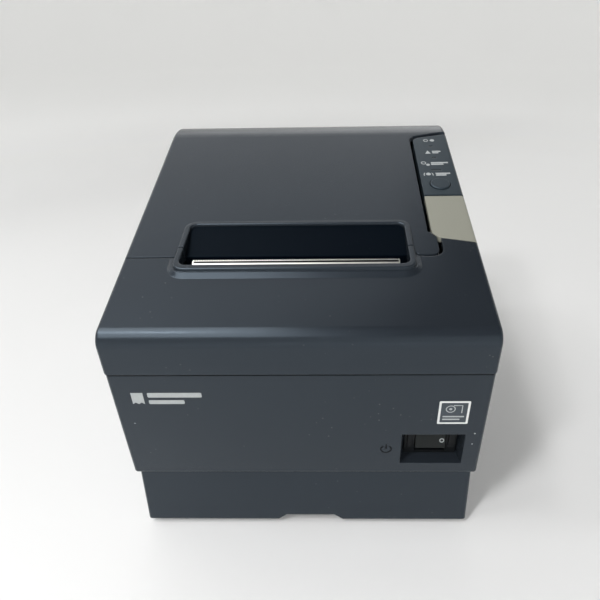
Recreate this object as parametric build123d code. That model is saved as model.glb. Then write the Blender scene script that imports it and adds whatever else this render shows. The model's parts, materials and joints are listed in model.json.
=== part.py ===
"""Desktop thermal receipt printer: a plinth, a leaning case and two top covers around a print mechanism.

Frame: X to the right seen from the front, the front faces -Y, +Z up, origin at the middle of the
footprint on the table. Millimetres.
"""
import os
from math import acos, atan2, cos, degrees, pi, radians, sin, tan

from build123d import *

os.makedirs("parts", exist_ok=True)

# ---------------------------------------------------------------- driving dimensions
HALF_W = 72.5                       # half of the overall width
REAR_Y = 97.5                       # rear face; the nose of the front cover is at -REAR_Y
HEIGHT = 148.0
WALL = 2.2                          # moulded wall thickness
SEAM = 0.65                         # gap between two moulded pieces

SLOPE = radians(16.5)               # the lid rises towards the rear
LEAN = radians(9.3)                 # the front leans forward from bottom to top
REAR_R = 43.0                       # big rounding from the lid to the rear face
NOSE_R = 6.0
EDGE_R = 1.5                        # rounding along the sides of the lid
CORNER_R = 1.3                      # side edges of the case and plinth
FOOT_ROLL = 1.6                     # rounding under the front of the case

FOOT_H = 2.5
PLINTH_TOP = 30.9
PARTING = 86.5                      # top edge of the case; the covers start here
PLINTH_HALF = 70.7
PLINTH_FRONT = -84.0
PLINTH_REAR = 96.0
CASE_FOOT_Y = -85.3                 # front of the case at the plinth

HINGE_Y = REAR_Y - 7.0              # lid hinge axis
HINGE_Z = PARTING + SEAM + 7.0
HINGE_R = 7.0                       # rolled rear lip of the lid
PIN_R = 2.5

PATH_X = -2.75                      # middle of the paper path
PLATEN_Y, PLATEN_Z, PLATEN_R = -41.0, 97.0, 8.0
PLATEN_HALF = 42.2
SHAFT_R = 3.0
BUSH_R = 4.0
ROLL_Y, ROLL_Z = 38.0, 95.0         # axis of the paper roll
BUCKET_R = 42.8
BUCKET_HALF = 42.0                  # half of the clear width for an 80 mm roll
BLADE_Z = 106.5                     # underside of the moving blade
BLADE_TRAVEL = 8.0

PLATE_X = 54.0                      # inner face of each mechanism side plate, from PATH_X
DECK_Z = 48.5                       # underside of the mechanism deck
DECK_T = 1.5

GEAR_M = 0.6
PLATEN_TEETH, IDLER_TEETH, PINION_TEETH = 28, 30, 16
KNOB_TEETH = 24
RUN = 0.06                          # radial clearance of a running fit

STRIP_X = 54.5                      # left edge of the control panel and lever
SPLIT_Y = -55.1                     # seam between front cover and lid
LEVER_REAR_Y = -13.8
RIM_X = (-51.2, 45.7)               # outside of the raised rim around the paper exit
RIM_Y = (-65.6, -30.9)
RIM_T = 2.5
RIM_FRONT_T = 3.2                   # wall of the rim along the front
RIM_SPLIT_Y = -50.8
GUIDE_LIP_Y = -49.6                 # front edge of the sloping exit floor
LID_GAP = 1.8                       # gap between the lid and the strip beside it
TONGUE_X, TONGUE_GAP = 56.0, 1.8    # right edge of the lid's front tongue, gap beside it
TONGUE_Y, TONGUE_FRONT_GAP = -54.2, 1.2
HALF_SPLIT = 0.4                    # half of the gap between front cover and lid
RIM_SLOPE = 0.22
BAY_X, BAY_Y, BAY_Z = 61.0, 79.0, 42.0   # rear connector bay: half width, depth plane, top


# ---------------------------------------------------------------- small helpers
def block(x, y, z):
    """Box from three (low, high) pairs."""
    size = [high - low for low, high in (x, y, z)]
    centre = [(low + high) / 2 for low, high in (x, y, z)]
    return Pos(*centre) * Box(*size)


def rod_x(radius, x, y, z):
    return Pos((x[0] + x[1]) / 2, y, z) * Rot(0, 90, 0) * Cylinder(radius, x[1] - x[0])


def rod_y(radius, x, y, z):
    return Pos(x, (y[0] + y[1]) / 2, z) * Rot(90, 0, 0) * Cylinder(radius, y[1] - y[0])


def rod_z(radius, x, y, z):
    return Pos(x, y, (z[0] + z[1]) / 2) * Cylinder(radius, z[1] - z[0])


def prism_x(points, x):
    """Side outline of (y, z) points, swept along X."""
    face = Plane.YZ.offset(x[0]) * make_face(Polyline(*points, close=True))
    return extrude(face, amount=x[1] - x[0])


def prism_z(points, z):
    """Plan outline of (x, y) points, swept along Z."""
    face = Plane.XY.offset(z[0]) * make_face(Polyline(*points, close=True))
    return extrude(face, amount=z[1] - z[0])


def round_corner(sketch, point, radius):
    corner = sketch.vertices().sort_by_distance((point[0], point[1], 0))[0]
    return fillet(corner, radius)


def rounded_box(x, y, z, radius):
    """Box with rounded upright corners."""
    body = block(x, y, z)
    return fillet(body.edges().filter_by(Axis.Z), radius)


def lid_z(y, inset=0.0):
    """Height of the sloped lid plane, or of a plane that lies inset below it."""
    rear_arc_y = REAR_Y - REAR_R
    plane_at_arc = HEIGHT - REAR_R + REAR_R / cos(SLOPE)
    return plane_at_arc + (y - rear_arc_y) * tan(SLOPE) - inset / cos(SLOPE)


def front_y(z, inset=0.0):
    """Front face of the covers above the parting line, tangent to the nose."""
    nose_y = -REAR_Y + NOSE_R
    nose_z = lid_z(nose_y) - NOSE_R / cos(SLOPE)
    return nose_y - (NOSE_R - inset) / cos(LEAN) - (z - nose_z) * tan(LEAN)


def rim_z(y):
    """Top of the rim: flush with the lid at the back, proud of it at the front."""
    return lid_z(RIM_Y[1]) + (y - RIM_Y[1]) * RIM_SLOPE


def on_lid(x, y, depth=0.0):
    """Local frame on the lid plane, its Z axis along the outward normal."""
    return Plane(origin=(x, y, lid_z(y, depth)), x_dir=(1, 0, 0), z_dir=(0, -sin(SLOPE), cos(SLOPE)))


def mirror_x(x):
    """The same X span on the other side of the paper path."""
    return (2 * PATH_X - x[1], 2 * PATH_X - x[0])


def save(name, shape):
    export_step(shape if isinstance(shape, Compound) else Compound(children=[shape]), f"parts/{name}.step")


def group(solids):
    return Compound(children=list(solids))


# ---------------------------------------------------------------- gears
def gear_outline(teeth, phase):
    """Involute spur gear outline, one tooth centred on the angle phase."""
    pitch_r = GEAR_M * teeth / 2
    base_r = pitch_r * cos(radians(20))
    tip_r = pitch_r + 0.9 * GEAR_M
    root_r = pitch_r - 1.2 * GEAR_M
    half = pi / (2 * teeth) - 0.07 / pitch_r
    involute = lambda r: tan(acos(base_r / r)) - acos(base_r / r)
    flank_r = [max(base_r, root_r) + 0.001, pitch_r, tip_r]
    flank = [(r, half + involute(pitch_r) - involute(r)) for r in flank_r]
    flank = [(root_r, flank[0][1])] + flank
    points = []
    for tooth in range(teeth):
        centre = phase + 2 * pi * tooth / teeth
        turns = [(r, centre - a) for r, a in flank] + [(r, centre + a) for r, a in reversed(flank)]
        points += [(r * cos(a), r * sin(a)) for r, a in turns]
    return make_face(Polyline(*points, close=True))


def mate_phase(own_teeth, own_phase, mate_teeth, towards):
    """Phase of a gear that meshes with another one lying in the direction towards."""
    pitch = 2 * pi / own_teeth
    offset = ((towards - own_phase) % pitch) / pitch
    return towards + pi + offset * 2 * pi / mate_teeth + pi / mate_teeth


def gear_x(teeth, phase, x, y, z, bore):
    face = Plane.YZ.offset(x[0]) * Pos(y, z, 0) * gear_outline(teeth, phase)
    return extrude(face, amount=x[1] - x[0]) - rod_x(bore, (x[0] - 1, x[1] + 1), y, z)


def gear_z(teeth, phase, x, y, z, bore):
    face = Plane.XY.offset(z[0]) * Pos(x, y, 0) * gear_outline(teeth, phase)
    return extrude(face, amount=z[1] - z[0]) - rod_z(bore, x, y, (z[0] - 1, z[1] + 1))


def screw_z(x, y, head_z, shank_z, head_r=2.8, shank_r=1.5):
    """Pan-head screw whose head faces down, with a cross recess."""
    shape = rod_z(head_r, x, y, head_z) + rod_z(shank_r, x, y, shank_z)
    for size in ((3.2, 0.8), (0.8, 3.2)):
        shape -= Pos(x, y, head_z[0]) * Box(size[0], size[1], 2.0)
    return shape


def coil_y(radius, wire, y, turns, x, z):
    """Helical compression spring lying along Y."""
    length = y[1] - y[0] - 2 * wire
    path = Helix(pitch=length / turns, height=length, radius=radius)
    section = Plane(origin=path @ 0, z_dir=path % 0) * Circle(wire)
    return Pos(x, y[0] + wire, z) * Rot(-90, 0, 0) * sweep(section, path=path)


# ---------------------------------------------------------------- outer skin of both covers
def cover_outline(inset, bottom, rolled):
    """Side outline of the covers; rolled rounds the rear lower lip about the hinge axis."""
    nose_lean = (front_y(200, inset) - front_y(0, inset)) / 200
    start = front_y(0, inset)
    corner_z = (lid_z(0, inset) + start * tan(SLOPE)) / (1 - nose_lean * tan(SLOPE))
    nose = (start + nose_lean * corner_z, corner_z)
    back = (REAR_Y - inset, lid_z(REAR_Y - inset, inset))
    lip = (REAR_Y - inset, bottom)
    sketch = make_face(Polyline((front_y(bottom, inset), bottom), nose, back, lip, close=True))
    sketch = round_corner(sketch, nose, NOSE_R - inset)
    sketch = round_corner(sketch, back, REAR_R - inset)
    return round_corner(sketch, lip, HINGE_R - inset) if rolled else sketch


def cover_block(inset, bottom, rolled=False):
    half = HALF_W - inset
    face = Plane.YZ.offset(-half) * cover_outline(inset, bottom, rolled)
    return extrude(face, amount=2 * half)


def cover_solid():
    body = cover_block(0, PARTING + SEAM, rolled=True)
    sides = body.edges().filter_by(lambda e: abs(abs(e.center().X) - HALF_W) < 0.01)
    sides = sides.filter_by(lambda e: e.bounding_box().max.Z > HINGE_Z + 1)
    return fillet(sides, EDGE_R)


def cover_shell():
    """Skin of even thickness, open below except for the rolled rear lip."""
    mouth = cover_block(WALL, PARTING - 5) & block((-80, 80), (-110, 84.5), (70, 160))
    return cover_solid() - cover_block(WALL, PARTING + SEAM + WALL, rolled=True) - mouth


REAR_WEDGE = 2.2                    # the gap behind the panel widens this much faster at the side


def strip_outline(gap):
    """Plan of the control panel and lever strip, grown by gap."""
    rear = (STRIP_X + 2.4 - gap, 39.0 + gap)
    left = STRIP_X - gap
    corner = (57.2 - gap, -43.4 - gap)
    return [(80, 44.0 + REAR_WEDGE * gap), rear, (left, 36.7 + gap / 2), (left, -40.2 - gap / 2), corner,
            (80, -48.2 - gap)]


def lever_outline():
    return [(x, min(y, LEVER_REAR_Y)) for x, y in strip_outline(0)[2:5]] + \
           [(80, -48.2), (80, LEVER_REAR_Y)]


def tongue(side_gap, front_gap):
    """Rounded tongue of the lid between the rim and the lever's front corner, grown by the gaps."""
    x = (RIM_X[1] + 0.6, TONGUE_X + side_gap)
    y = (TONGUE_Y - front_gap, -40.0)
    body = block(x, y, (80, 160))
    upright = body.edges().filter_by(Axis.Z)
    body = fillet(upright.sort_by_distance((x[1], y[0], 120))[0], 3.0 + side_gap)
    left = body.edges().filter_by(Axis.Z).sort_by_distance((x[0], y[0], 120))[0]
    return fillet(left, 2.0)


def rim_ring():
    """Upright tube around the paper exit, cut off at the rim's own slope."""
    tall = (90, 140)
    outer = rounded_box(RIM_X, RIM_Y, tall, 5.0)
    inner_x = (RIM_X[0] + RIM_T, RIM_X[1] - RIM_T)
    inner_y = (RIM_Y[0] + RIM_FRONT_T, RIM_Y[1] - RIM_T)
    ring = outer - rounded_box(inner_x, inner_y, tall, 3.0)
    band = prism_x([(-70, rim_z(-70)), (-25, rim_z(-25)), (-25, rim_z(-25) - 6.5),
                    (-70, rim_z(-70) - 6.5)], (-60, 60))
    ring = ring & band
    top = ring.faces().filter_by(lambda f: f.normal_at().Z > 0.9)
    return fillet(top.edges(), 0.7)


def rim_ramp():
    """Low ramp around the front of the rim; it fades out towards the split."""
    grow, rise, fade = 2.6, 1.4, 0.13
    middle = ((RIM_X[0] + RIM_X[1]) / 2, (RIM_Y[0] + RIM_Y[1]) / 2)
    width, depth = RIM_X[1] - RIM_X[0], (RIM_Y[1] - RIM_Y[0]) / cos(SLOPE)
    foot = on_lid(*middle, 0.2) * RectangleRounded(width + 2 * grow, depth + 2 * grow, 5.0 + grow)
    ramp = extrude(foot, amount=rise + 0.2, taper=degrees(atan2(grow, rise + 0.2)))
    end = SPLIT_Y - HALF_SPLIT
    below = prism_x([(-72, 100), (-72, lid_z(-72) + fade * (end + 72)), (end, lid_z(end)), (end, 100)],
                    (-60, 60))
    return (ramp & below) - rim_hole()


def rim_hole():
    x = (RIM_X[0] + 1.2, RIM_X[1] - 1.2)
    y = (RIM_Y[0] + 1.2, RIM_Y[1] - 1.2)
    return rounded_box(x, y, (90, 160), 4.0)


# ---------------------------------------------------------------- front cover
def front_cover(shell, ring):
    field = block((-80, 80), (-110, SPLIT_Y - HALF_SPLIT), (80, 160))
    right = TONGUE_X + TONGUE_GAP
    field += prism_z([(right - 4, -60), (80, -60), (80, -48.7), (right, -44.0), (right - 4, -51)], (80, 160))
    field += block((RIM_X[1] - 1, RIM_X[1] + 4), (-56, -51), (80, 160))
    field -= tongue(TONGUE_GAP, TONGUE_FRONT_GAP)
    body = shell & field
    body -= rim_hole()
    body -= block((RIM_X[0] + 1.2, RIM_X[1] - 1.2), (-60, -50), (90, 160))
    body += (ring + rim_ramp()) & block((-60, 60), (-80, RIM_SPLIT_Y - HALF_SPLIT), (80, 160))
    return body + tear_bar_ledge()


def tear_bar_line():
    """Lower end, upper end and tilt of the tear bar, in (y, z)."""
    low, high = (-59.6, 113.2), (-55.3, 116.3)
    return low, high, atan2(high[1] - low[1], high[0] - low[0])


def tear_bar_ledge():
    low, high, tilt = tear_bar_line()
    drop = 0.25 / cos(tilt)
    top = (high[0] - 1.6, low[1] + (high[0] - 1.6 - low[0]) * tan(tilt) - drop)
    wall_y = RIM_Y[0] + RIM_T - 0.5
    outline = [(wall_y, 110.9), (-58.0, 110.9), top, (low[0], low[1] - drop), (wall_y, low[1] - drop)]
    return prism_x(outline, (RIM_X[0] + 1.0, RIM_X[1] - 1.0))


def tear_bar():
    """Serrated steel strip, teeth along its upper edge."""
    low, high, tilt = tear_bar_line()
    length = ((high[0] - low[0]) ** 2 + (high[1] - low[1]) ** 2) ** 0.5
    half, pitch, tooth = 42.0, 1.0, 0.8
    count = round(2 * half / pitch)
    points = [(-half, 0.0)]
    for i in range(count):
        left = -half + i * pitch
        points += [(left, length - tooth), (left + pitch / 2, length)]
    points += [(half, length - tooth), (half, 0.0)]
    face = make_face(Polyline(*points, close=True))
    place = Plane(origin=(PATH_X + 0.4, low[0], low[1]), x_dir=(1, 0, 0),
                  z_dir=(0, -sin(tilt), cos(tilt)))
    return place * Pos(0, 0, -0.25) * extrude(face, amount=0.5)


# ---------------------------------------------------------------- lid (paper cover)
def hinge_slots():
    return [block(span, (84, 99), (80, HINGE_Z + 5.4)) for span in ((59.5, 64.5), (-64.5, -59.5))]


def hinge_bosses():
    """Solid ends inside the rolled lip, bored for the pins."""
    bosses = [rod_x(HINGE_R - 1.0, span, HINGE_Y, HINGE_Z) for span in ((52, 70.6), (-70.6, -52))]
    return [boss - rod_x(PIN_R + RUN, (-70.2, 70.2), HINGE_Y, HINGE_Z) for boss in bosses]


def paper_cover(shell, ring):
    body = shell + hinge_bosses()
    body &= block((-80, 80), (SPLIT_Y + HALF_SPLIT, 110), (80, 160))
    gap_x = STRIP_X - LID_GAP
    strip = prism_z(strip_outline(LID_GAP)[:4] + [(gap_x, -48), (80, -48)], (80, 160))
    body -= strip - tongue(0, 0)
    body -= prism_z(strip_outline(0.5), (80, 160))
    body -= block((RIM_X[1] + 0.6, 80), (-60, -45), (80, 160)) - tongue(0, 0)
    body -= block((RIM_X[0] - 0.6, RIM_X[1] + 0.6), (-60, RIM_SPLIT_Y + HALF_SPLIT), (90, 160))
    body -= rim_hole()
    body += ring & block((-60, 60), (RIM_SPLIT_Y + HALF_SPLIT, -20), (80, 160))
    for slot in hinge_slots():
        body -= slot
    return body


def exit_guide():
    """Sloping floor of the paper exit, with the foot that carries the fixed blade and the platen arms."""
    back_y = RIM_Y[1] - RIM_T
    lip_z = 115.4
    outline = [(back_y, lid_z(back_y) - 0.9), (GUIDE_LIP_Y, lip_z), (GUIDE_LIP_Y, 109.0), (-38.0, 109.0),
               (-38.0, 110.5), (-47.4, 110.5), (-47.4, lip_z - 1.6), (back_y, lid_z(back_y) - 3.2)]
    floor = prism_x(outline, (RIM_X[0] + RIM_T, RIM_X[1] - RIM_T))
    lip = floor.edges().filter_by(Axis.X).sort_by_distance((0, GUIDE_LIP_Y, lip_z))[0]
    floor = fillet(lip, 0.8)
    floor &= rounded_box((RIM_X[0] + RIM_T, RIM_X[1] - RIM_T), (-60, back_y), (100, 130), 3.05)
    return floor + block((ARM_X[0], mirror_x(ARM_X)[1]), (-46.9, -38.0), (109.0, 110.5))


ARM_X = (-53.5, -51.0)


def platen_arms():
    """Two arms under the exit floor that hold the platen bushes."""
    arms = []
    for span in (ARM_X, mirror_x(ARM_X)):
        arm = block(span, (-46.9, -35.1), (PLATEN_Z, 109.0)) + rod_x(5.9, span, PLATEN_Y, PLATEN_Z)
        arms.append(arm - rod_x(BUSH_R, (span[0] - 1, span[1] + 1), PLATEN_Y, PLATEN_Z))
    return group(arms)


def lid_liner():
    """Ribbed inner panel screwed under the lid, above the roll."""
    x = (-50.0, 44.5)
    top, bottom = WALL + 0.1, WALL + 1.7
    skin = cover_block(top, PARTING) - cover_block(bottom, PARTING - 5)
    plate = skin & block(x, (-24, 82), (110, 160))
    for rib_x in (-49.2, 43.7):
        rib = prism_x([(-24, lid_z(-24, bottom - 0.2)), (44, lid_z(44, bottom - 0.2)),
                       (44, lid_z(44, bottom + 5)), (-24, lid_z(-24, bottom + 3))],
                      (rib_x - 0.8, rib_x + 0.8))
        plate += rib
    return plate


def fixed_blade():
    edge = [(-48.8, 107.7), (-48.2, 109.0), (-38.5, 109.0), (-38.5, 107.7)]
    return prism_x(edge, (PATH_X - 44, PATH_X + 44))


def hinge_pins():
    return group([rod_x(PIN_R, span, HINGE_Y, HINGE_Z) for span in ((55, 69), (-69, -55))])


# ---------------------------------------------------------------- platen
def platen_roller():
    span = (PATH_X - PLATEN_HALF, PATH_X + PLATEN_HALF)
    tube = rod_x(PLATEN_R, span, PLATEN_Y, PLATEN_Z) - rod_x(SHAFT_R, span, PLATEN_Y, PLATEN_Z)
    return tube


def platen_shaft():
    return chamfer(rod_x(SHAFT_R, (-63.0, 53.5), PLATEN_Y, PLATEN_Z).edges(), 0.4)


def platen_bushes():
    bushes = []
    for span, flange in (((-57.9, -51.0), (-51.0, -50.0)), ((45.5, 52.4), (44.5, 45.5))):
        bush = rod_x(BUSH_R, span, PLATEN_Y, PLATEN_Z) + rod_x(5.2, flange, PLATEN_Y, PLATEN_Z)
        bushes.append(bush - rod_x(SHAFT_R + RUN, (-80, 80), PLATEN_Y, PLATEN_Z))
    return group(bushes)


IDLER_Y = PLATEN_Y
IDLER_Z = PLATEN_Z - GEAR_M * (PLATEN_TEETH + IDLER_TEETH) / 2
MOTOR_TURN = radians(-45)
MOTOR_REACH = GEAR_M * (PINION_TEETH + IDLER_TEETH) / 2
MOTOR_Y = IDLER_Y + MOTOR_REACH * cos(MOTOR_TURN)
MOTOR_Z = IDLER_Z + MOTOR_REACH * sin(MOTOR_TURN)
PLATEN_PHASE = -pi / 2
IDLER_PHASE = mate_phase(PLATEN_TEETH, PLATEN_PHASE, IDLER_TEETH, -pi / 2)
PINION_PHASE = mate_phase(IDLER_TEETH, IDLER_PHASE, PINION_TEETH, MOTOR_TURN)
GEAR_SPAN = (-62.5, -59.0)


def gear_train():
    post = rod_x(1.5, (-63.2, -56.0), IDLER_Y, IDLER_Z) + rod_x(2.6, (-63.8, -63.0), IDLER_Y, IDLER_Z)
    motor = rod_x(11.0, (-55.9, -36.0), MOTOR_Y, MOTOR_Z)
    motor = fillet(motor.edges().filter_by(lambda e: e.center().X > -40), 1.5)
    motor += rod_x(4.0, (-57.9, -55.9), MOTOR_Y, MOTOR_Z)
    motor -= rod_x(1.0 + RUN, (-58.5, -46.0), MOTOR_Y, MOTOR_Z)
    pinion = gear_x(PINION_TEETH, PINION_PHASE, GEAR_SPAN, MOTOR_Y, MOTOR_Z, 0.5)
    pinion += rod_x(1.0, (-62.5, -46.5), MOTOR_Y, MOTOR_Z)
    save("platen_gear", gear_x(PLATEN_TEETH, PLATEN_PHASE, GEAR_SPAN, PLATEN_Y, PLATEN_Z, SHAFT_R))
    save("idler_gear", gear_x(IDLER_TEETH, IDLER_PHASE, GEAR_SPAN, IDLER_Y, IDLER_Z, 1.5 + RUN))
    save("idler_post", post)
    save("feed_motor", motor)
    save("motor_pinion", pinion)


# ---------------------------------------------------------------- mechanism frame
LATCH_Y, LATCH_Z = -22.0, 86.0
HEAD_Y, HEAD_Z = -56.0, 82.0


def side_plate(span):
    """Steel side plate with an open notch for a platen bush."""
    top = 105.2
    outline = [(-82, DECK_Z + DECK_T), (-82, top), (-52, top), (-49.2, 103), (PLATEN_Y - 4.4, 101),
               (PLATEN_Y - 4.4, PLATEN_Z), (PLATEN_Y + 4.4, PLATEN_Z), (PLATEN_Y + 5.6, 101),
               (-32, 100), (-14, 92), (-10, 84), (-10, DECK_Z + DECK_T)]
    plate = prism_x(outline, span)
    plate -= rod_x(4.4, (span[0] - 1, span[1] + 1), PLATEN_Y, PLATEN_Z)
    for y, z, r in ((LATCH_Y, LATCH_Z, 2.5 + RUN), (HEAD_Y, HEAD_Z, 1.5), (-66, 64, 7)):
        plate -= rod_x(r, (span[0] - 1, span[1] + 1), y, z)
    return plate


def mechanism_frame():
    left = (PATH_X - PLATE_X, PATH_X - PLATE_X + 1.5)
    left = (left[0] - 0.75, left[1] - 0.75)
    right = mirror_x(left)
    deck = rounded_box((-66, 66), (-80, 74), (DECK_Z, DECK_Z + DECK_T), 4)
    deck -= block((-30, 25), (-60, -20), (DECK_Z - 1, DECK_Z + 3))
    deck -= block((36, 70), (-90, -62), (DECK_Z - 1, DECK_Z + 3))
    front_wall = block((left[1], right[0]), (-77.5, -76.0), (DECK_Z + DECK_T, 101))
    near_switch = block((36, 70), (-90, -62), (DECK_Z, 55))
    save("mechanism_frame", deck + (front_wall - near_switch))
    bores = rod_x(4.05, (left[0] - 1, left[1] + 0.5), MOTOR_Y, MOTOR_Z)
    bores += rod_x(1.5, (left[0] - 1, left[1] + 1), IDLER_Y, IDLER_Z)
    save("side_plates", group([side_plate(left) - bores, side_plate(right) - near_switch]))


def latch():
    """Shaft with two hooks behind the platen bushes and a crank under the lever's finger."""
    shaft = rod_x(2.5, (-58.6, 62.0), LATCH_Y, LATCH_Z)
    hook = [(-25.6, 86), (-36.1, 99.3), (-36.1, 102.4), (-33.6, 104.2), (-31.0, 101.2), (-19.0, 87.5)]
    left = (-55.7, -54.2)
    hooks = []
    for span in (left, mirror_x(left)):
        plate = prism_x(hook, span) + rod_x(4.6, span, LATCH_Y, LATCH_Z)
        hooks.append(plate - rod_x(2.5, (span[0] - 1, span[1] + 1), LATCH_Y, LATCH_Z))
    crank = prism_x([(-25, 86), (-15.4, 104.5), (-13.0, 104.5), (-18.5, 85)], (58.8, 61.0))
    crank += rod_x(4.6, (58.8, 61.0), LATCH_Y, LATCH_Z)
    crank -= rod_x(2.5, (58, 62), LATCH_Y, LATCH_Z)
    save("latch_shaft", shaft)
    save("latch_hooks", group(hooks + [crank]))


def thermal_head():
    """Heat sink that rocks on its pin, with the heater strip facing the platen."""
    span = (PATH_X - 44, PATH_X + 44)
    sink = prism_x([(-60, 79), (-52.5, 79), (-51.0, 90), (-51.0, 104.2), (-58.0, 104.2), (-60, 98)], span)
    for z in (86, 89.5, 93, 96.5):
        sink -= block((span[0] - 1, span[1] + 1), (-61, -56.5), (z, z + 1.6))
    sink -= rod_x(1.5 + RUN, (span[0] - 1, span[1] + 1), HEAD_Y, HEAD_Z)
    strip = block(span, (-51.0, -49.9), (90.5, 103.8)) + block(span, (-49.9, -49.35), (95.2, 98.8))
    save("head_heat_sink", sink)
    save("thermal_head", strip)
    save("head_pivot_pin", rod_x(1.5, (-58.6, 53.1), HEAD_Y, HEAD_Z))
    save("head_springs", group([coil_y(3.0, 0.45, (-75.9, -61.6), 5, x, 92) for x in (-28, 22)]))


# ---------------------------------------------------------------- cutter
RACK_X = 42.0
PINION_X = RACK_X + GEAR_M * PINION_TEETH / 2
PINION_Y = -68.0
KNOB_X = PINION_X + GEAR_M * (PINION_TEETH + KNOB_TEETH) / 2


def rack_edge(y, side_x):
    """Points of rack teeth along Y, with a gap facing the pinion at rest."""
    pitch = pi * GEAR_M
    half = pitch / 4 - 0.07
    slant = tan(radians(20)) * GEAR_M
    root_x, tip_x = side_x - 1.1 * GEAR_M, side_x + 0.9 * GEAR_M
    foot, tip = half + slant, half - 0.9 * slant
    points = []
    for k in range(y[0], y[1]):
        mid = PINION_Y + (k + 0.5) * pitch
        points += [(root_x, mid - foot), (tip_x, mid - tip), (tip_x, mid + tip), (root_x, mid + foot)]
    return points


def moving_blade():
    """Shallow V blade with a rack along its right edge."""
    rack = rack_edge((-6, 3), RACK_X)
    left = 2 * PATH_X - RACK_X + 2
    middle = (left + RACK_X) / 2
    outline = [(left, -78.0), (40.5, -78.0), (40.5, rack[0][1])] + rack
    outline += [(40.5, rack[-1][1]), (40.5, -52.2), (middle, -54.6), (left, -52.2)]
    return prism_z(outline, (BLADE_Z, BLADE_Z + 0.8))


def cutter():
    plate = rounded_box((-54, 66.5), (-82, -58.6), (105.2, 106.2), 2)
    rails = block((-52.5, -50.0), (-74, -58.6), (106.2, 108.2))
    plate += rails + block((-40, 30), (-81.5, -79.5), (106.2, 106.7))
    plate -= rod_z(2.2, KNOB_X, PINION_Y, (100, 110))
    post = rod_z(1.5, PINION_X, PINION_Y, (106.2, 109.0))
    motor = rod_z(6.0, KNOB_X, PINION_Y, (84.0, 105.2))
    motor = fillet(motor.edges().filter_by(lambda e: e.center().Z < 90), 1.0)
    motor -= rod_z(1.0 + RUN, KNOB_X, PINION_Y, (90, 106))
    pinion_phase = pi
    knob_phase = mate_phase(PINION_TEETH, pinion_phase, KNOB_TEETH, 0.0)
    pinion = gear_z(PINION_TEETH, pinion_phase, PINION_X, PINION_Y, (106.4, 108.2), 1.5 + RUN)
    knob = gear_z(KNOB_TEETH, knob_phase, KNOB_X, PINION_Y, (106.5, 108.1), 0.5)
    knob += rod_z(6.0, KNOB_X, PINION_Y, (108.1, 108.9)) + rod_z(1.0, KNOB_X, PINION_Y, (90.5, 106.6))
    for turn in range(18):
        angle = 2 * pi * turn / 18
        knob -= rod_z(0.5, KNOB_X + 6.1 * cos(angle), PINION_Y + 6.1 * sin(angle), (108.1, 111))
    save("cutter_frame", plate + post)
    save("cutter_motor", motor)
    save("cutter_pinion", pinion)
    save("cutter_knob", knob)
    save("moving_blade", moving_blade())


# ---------------------------------------------------------------- paper bucket and its sensors
def paper_bucket():
    """Half-round cradle with two cheeks and a guide plate towards the platen."""
    outer = (PATH_X - BUCKET_HALF - 1.8, PATH_X + BUCKET_HALF + 1.8)
    inner = (PATH_X - BUCKET_HALF, PATH_X + BUCKET_HALF)
    body = rod_x(BUCKET_R + 1.6, outer, ROLL_Y, ROLL_Z) - rod_x(BUCKET_R, inner, ROLL_Y, ROLL_Z)
    body &= block((-60, 60), (-20, 90), (DECK_Z, 93.5))
    body -= block((-60, 60), (74, 90), (88.5, 95))      # clears the rolled lip of the opening lid
    guide_z = 93.5
    body += prism_x([(-6.2, guide_z), (-4.2, guide_z - 1.6), (-31, 89.0), (-31, 90.4)], outer)
    for y in (14, 56):
        body += block((PATH_X - 30, PATH_X + 30), (y - 1, y + 1), (DECK_Z + DECK_T, 60)) \
            - rod_x(BUCKET_R + 0.8, (-60, 60), ROLL_Y, ROLL_Z)
    return body - block((outer[0] - 1, inner[0] + 0.1), (30, 44), (70, 80))


NEAR_END_X, NEAR_END_Y = -51.5, 24.0


def near_end_lever():
    arm = block((-52.8, -50.4), (NEAR_END_Y, 38), (72, 78)) + rod_z(3.2, NEAR_END_X, NEAR_END_Y, (71.5, 78.5))
    nose = prism_z([(-51, 33.5), (-45.5, 34.5), (-43.8, 36.8), (-45.5, 39.0), (-51, 40.5)], (72, 78))
    return arm + nose - rod_z(1.5 + RUN, NEAR_END_X, NEAR_END_Y, (70, 80))


def near_end_bracket():
    plate = block((-57.0, -46.6), (17, 31), (65.0, 66.5)) + block((-48.2, -46.6), (17, 31), (65, 70.5))
    post = rod_z(1.5, NEAR_END_X, NEAR_END_Y, (66.5, 80.0)) + rod_z(3.2, NEAR_END_X, NEAR_END_Y, (66.5, 71.2))
    return plate + post


def paper_sensor():
    base = block((-6, 6), (-30.5, -25.5), (83.5, 88.2)) + block((-3, 3), (-30.0, -27.0), (82.0, 83.5))
    return base - rod_z(1.0, 0, -28.0, (87.5, 89))


# ---------------------------------------------------------------- case and base
def case_outline(inset, z):
    front_low = CASE_FOOT_Y + inset - (z[0] - PLINTH_TOP) * tan(LEAN)
    front_high = CASE_FOOT_Y + inset - (z[1] - PLINTH_TOP) * tan(LEAN)
    rear = REAR_Y - inset
    return [(front_low, z[0]), (front_high, z[1]), (rear, z[1]), (rear, z[0])]


def front_frame(x, z, depth):
    """Frame on the leaning front face, its Z axis pointing out of the case."""
    y = CASE_FOOT_Y - (z - PLINTH_TOP) * tan(LEAN) + depth
    return Plane(origin=(x, y, z), x_dir=(1, 0, 0), z_dir=(0, -cos(LEAN), -sin(LEAN)))


SCREW_X, SCREW_YS = 62.5, (-40.0, 76.0)
POST_X, POST_YS = 58.0, (-55.0, 64.0)
SWITCH_X, SWITCH_Z = 52.5, 45.85
SWITCH_W, SWITCH_H, SWITCH_DEPTH = 25.6, 17.7, 7.0
HOUSING_Z = SWITCH_Z - 0.4          # middle of the switch housing


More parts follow.
